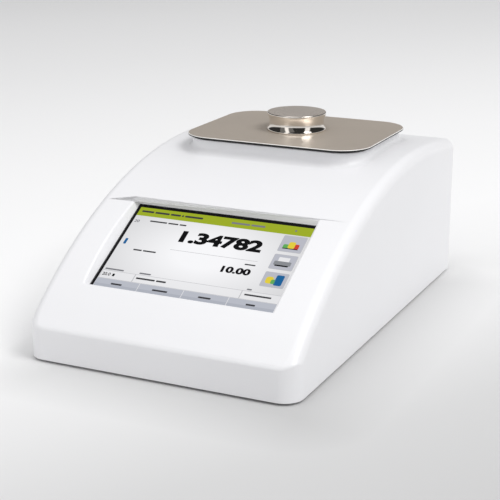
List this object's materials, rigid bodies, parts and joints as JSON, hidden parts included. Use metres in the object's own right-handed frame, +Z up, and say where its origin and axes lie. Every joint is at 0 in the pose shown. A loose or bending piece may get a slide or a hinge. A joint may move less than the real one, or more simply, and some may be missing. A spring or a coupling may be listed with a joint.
{
  "type": "digital bench refractometer",
  "caption": "White whale-backed bench refractometer with a sloping touch screen sunk in the front, a flat steel sample stage on a plinth and a loose steel lid over the prism.",
  "frame": {"origin": "on the table, under the middle of the housing's width and depth", "axes": "+X to the right as seen from the screen side, +Y from the screen to the rear panel, +Z up"},
  "size_m": [0.227, 0.3641, 0.1578],
  "materials": {
    "white_shell": "satin white moulding",
    "zinc_sheet": "zinc plated sheet",
    "black_rubber": "matte",
    "screw_steel": "bright zinc plate",
    "grey_panel": "fine powder coat",
    "screen_glass": "dark cover glass",
    "plain_aluminium": "milled",
    "green_board": "solder mask",
    "stage_steel": "satin stainless steel",
    "lid_steel": "turned and polished stainless steel",
    "prism_glass": "polished",
    "black_aluminium": "black anodised",
    "amber_resin": "clear amber resin",
    "white_ceramic": "matte ceramic",
    "spacer_brass": "turned",
    "port_steel": "nickel plated shell",
    "black_plastic": "moulded black"
  },
  "bodies": {
    "root": {"housing": "white_shell", "base_plate": "zinc_sheet", "rubber_feet": "black_rubber", "foot_screws": "screw_steel", "base_screws": "screw_steel", "rear_panel": "grey_panel", "rear_screws": "screw_steel", "touch_glass": "screen_glass", "display_module": "zinc_sheet", "display_carrier": "plain_aluminium", "display_screws": "screw_steel", "display_board": "green_board", "sample_plate": "stage_steel", "plate_gasket": "black_rubber", "prism_bezel": "lid_steel", "prism": "prism_glass", "prism_seal": "black_rubber", "prism_block": "plain_aluminium", "temperature_sensor": "lid_steel", "light_tube": "black_aluminium", "light_source": "amber_resin", "collimating_lens": "prism_glass", "sensor_tube": "black_aluminium", "sensor_board": "green_board", "cooling_elements": "white_ceramic", "heat_sinks": "plain_aluminium", "block_pillars": "screw_steel", "main_board": "green_board", "board_spacers": "spacer_brass", "board_screws": "screw_steel", "interface_board": "green_board", "usb_ports": "port_steel", "network_port": "port_steel", "serial_port": "port_steel", "power_supply": "zinc_sheet", "fan_frame": "black_plastic", "fan_screws": "screw_steel", "power_inlet": "black_plastic", "inlet_pins": "spacer_brass", "inlet_screws": "screw_steel"},
    "lid": {"lid": "lid_steel"},
    "rotor": {"fan_rotor": "black_plastic"},
    "rocker": {"power_rocker": "black_plastic"},
    "drawer": {"fuse_drawer": "black_plastic", "fuse": "prism_glass"}
  },
  "joints": [
    {"name": "lid_lift", "type": "slide", "parent": "root", "child": "lid", "axis": [0, 0, 1], "range_m": [0, 0.06]},
    {"name": "fan_spin", "type": "hinge", "parent": "root", "child": "rotor", "pos_m": [0.018, 0.168, 0.079], "axis": [0, 1, 0], "continuous": true},
    {"name": "rocker_press", "type": "hinge", "parent": "root", "child": "rocker", "pos_m": [-0.069, 0.179, 0.062], "axis": [1, 0, 0], "range_deg": [-20, 0]},
    {"name": "drawer_pull", "type": "slide", "parent": "root", "child": "drawer", "axis": [0, 1, 0], "range_m": [0, 0.012]}
  ]
}
